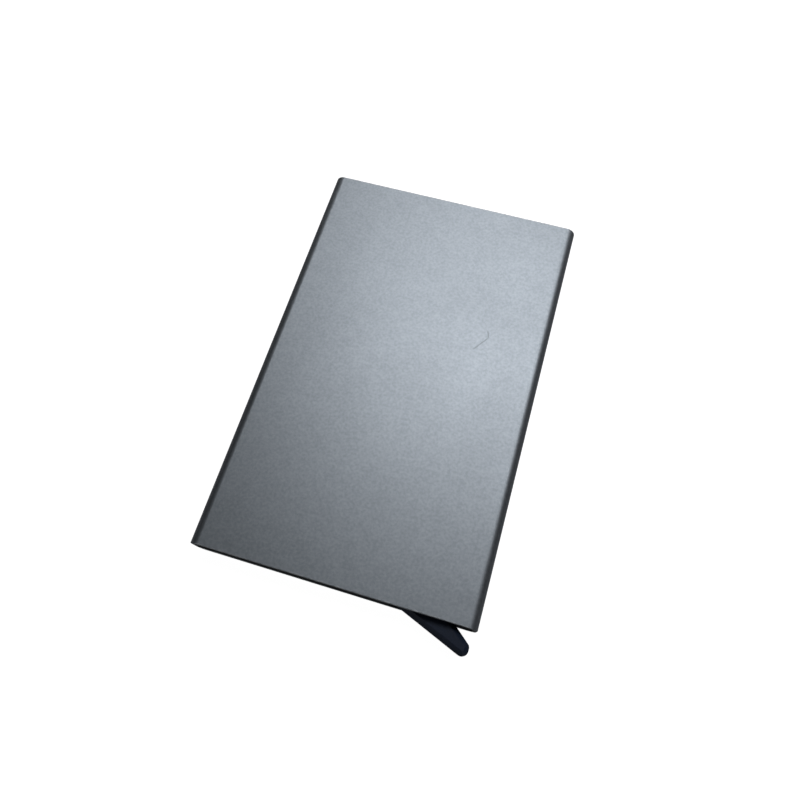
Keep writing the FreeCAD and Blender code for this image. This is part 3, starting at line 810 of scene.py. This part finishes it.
for side in ("left", "right"):
    coatNode(side + "_rail", railFinish)
    coatNode(side + "_mouth_stop", stopFinish)
coatNode("base_cap", baseFinish)
coatNode("lever_pin", steelFinish)
print("CAD nodes coated")


cameraSizes = {
    # millimetres and degrees
    "target": (2.30, -6.31, 8.0),
    "distance": 152.46,
    "azimuth": 19.48,
    "elevation": 68.41,
    "roll": -3.10,
    "lens": 30.61,
}


def makeCamera(sizes):
    turned = Matrix.Rotation(math.radians(sizes["azimuth"]), 4, "Z")
    turned = turned @ Matrix.Rotation(math.radians(90 - sizes["elevation"]), 4, "X")
    turned = turned @ Matrix.Rotation(math.radians(sizes["roll"]), 4, "Z")
    lens = bpy.data.cameras.new("productCamera")
    lens.lens = sizes["lens"]
    lens.sensor_width = 36.0
    lens.clip_start = 0.005
    camera = bpy.data.objects.new("productCamera", lens)
    bpy.context.scene.collection.objects.link(camera)
    away = Matrix.Translation((0, 0, sizes["distance"] * mm))
    camera.matrix_world = Matrix.Translation(Vector(sizes["target"]) * mm) @ turned @ away
    bpy.context.scene.camera = camera


makeCamera(cameraSizes)

lightSizes = {
    # tilt is from straight up, round is from +X towards +Y, both in degrees
    "overheadBox": {"tilt": 23, "round": 92, "distance": 1.0, "across": 0.36, "watts": 1.40},
    "backBox": {"tilt": 34, "round": 100, "distance": 1.0, "across": 0.36, "watts": 1.27},
    "sideBox": {"tilt": 36, "round": 47, "distance": 1.0, "across": 0.36, "watts": 1.93},
    # the low boxes stand towards the ends, where the long edges hardly mirror them
    "lowBackBox": {"tilt": 76, "round": 90, "distance": 1.0, "across": 0.5, "watts": 1.2},
    "lowRightBackBox": {"tilt": 74, "round": 62, "distance": 1.0, "across": 0.5, "watts": 0.6},
    "lowLeftBackBox": {"tilt": 74, "round": 118, "distance": 1.0, "across": 0.5, "watts": 0.6},
    "lowLeftFrontBox": {"tilt": 74, "round": 238, "distance": 1.0, "across": 0.5, "watts": 0.6},
    "lowRightFrontBox": {"tilt": 74, "round": 302, "distance": 1.0, "across": 0.5, "watts": 0.6},
}


def softBox(name, sizes):
    data = bpy.data.lights.new(name, "AREA")
    data.shape = "DISK"
    data.size = sizes["across"]
    data.energy = sizes["watts"]
    box = bpy.data.objects.new(name, data)
    bpy.context.scene.collection.objects.link(box)
    tilt, turn = math.radians(sizes["tilt"]), math.radians(sizes["round"])
    level = math.sin(tilt)
    spot = Vector((level * math.cos(turn), level * math.sin(turn), math.cos(tilt)))
    box.location = spot * sizes["distance"]
    box.rotation_euler = spot.to_track_quat("Z", "Y").to_euler()
    box.visible_camera = False


for name, sizes in lightSizes.items():
    softBox(name, sizes)

studioSizes = {
    "worldSeen": 1.0,
    "worldFill": 0.02,
    "floorTone": 0.3,
    "floorLift": 0.98,
    "floorReach": 3.0,
}


def makeBackdrop(sizes):
    # white to the eye, and a dim room to what it lights
    world = bpy.data.worlds.new("studio")
    world.use_nodes = True
    tree = world.node_tree
    tree.nodes.clear()
    seen = addNode(tree, "ShaderNodeLightPath").outputs["Is Camera Ray"]
    strength = rangeNode(tree, seen, 0.0, 1.0, sizes["worldFill"], sizes["worldSeen"])
    room = addNode(tree, "ShaderNodeBackground", {"Strength": strength})
    room.inputs["Color"].default_value = (1.0, 1.0, 1.0, 1.0)
    addNode(tree, "ShaderNodeOutputWorld", {"Surface": room.outputs[0]})
    bpy.context.scene.world = world


def makeFloorFinish(sizes):
    # the eye sees it lifted to white, and what stands on it mirrors its own darker tone
    finish = bpy.data.materials.new("paleFloor")
    finish.use_nodes = True
    tree = finish.node_tree
    tree.nodes.clear()
    seen = addNode(tree, "ShaderNodeLightPath").outputs["Is Camera Ray"]
    paint = addNode(tree, "ShaderNodeBsdfDiffuse")
    paint.inputs["Color"].default_value = (*[sizes["floorTone"]] * 3, 1.0)
    lifted = mathNode(tree, "MULTIPLY", seen, sizes["floorLift"])
    lift = addNode(tree, "ShaderNodeEmission", {"Strength": lifted})
    both = addNode(tree, "ShaderNodeAddShader", {0: paint.outputs[0], 1: lift.outputs[0]})
    addNode(tree, "ShaderNodeOutputMaterial", {"Surface": both.outputs[0]})
    return finish


def makeFloor(sizes):
    reach = sizes["floorReach"]
    corners = [(-reach, -reach, 0), (reach, -reach, 0), (reach, reach, 0), (-reach, reach, 0)]
    mesh = bpy.data.meshes.new("floor")
    mesh.from_pydata(corners, [], [(0, 1, 2, 3)])
    floor = addPiece("floor", mesh, makeFloorFinish(sizes))
    floor.location.z = cadLow.z


makeBackdrop(studioSizes)
makeFloor(studioSizes)
bpy.context.scene.view_settings.view_transform = "Standard"
print("camera, light and floor set")
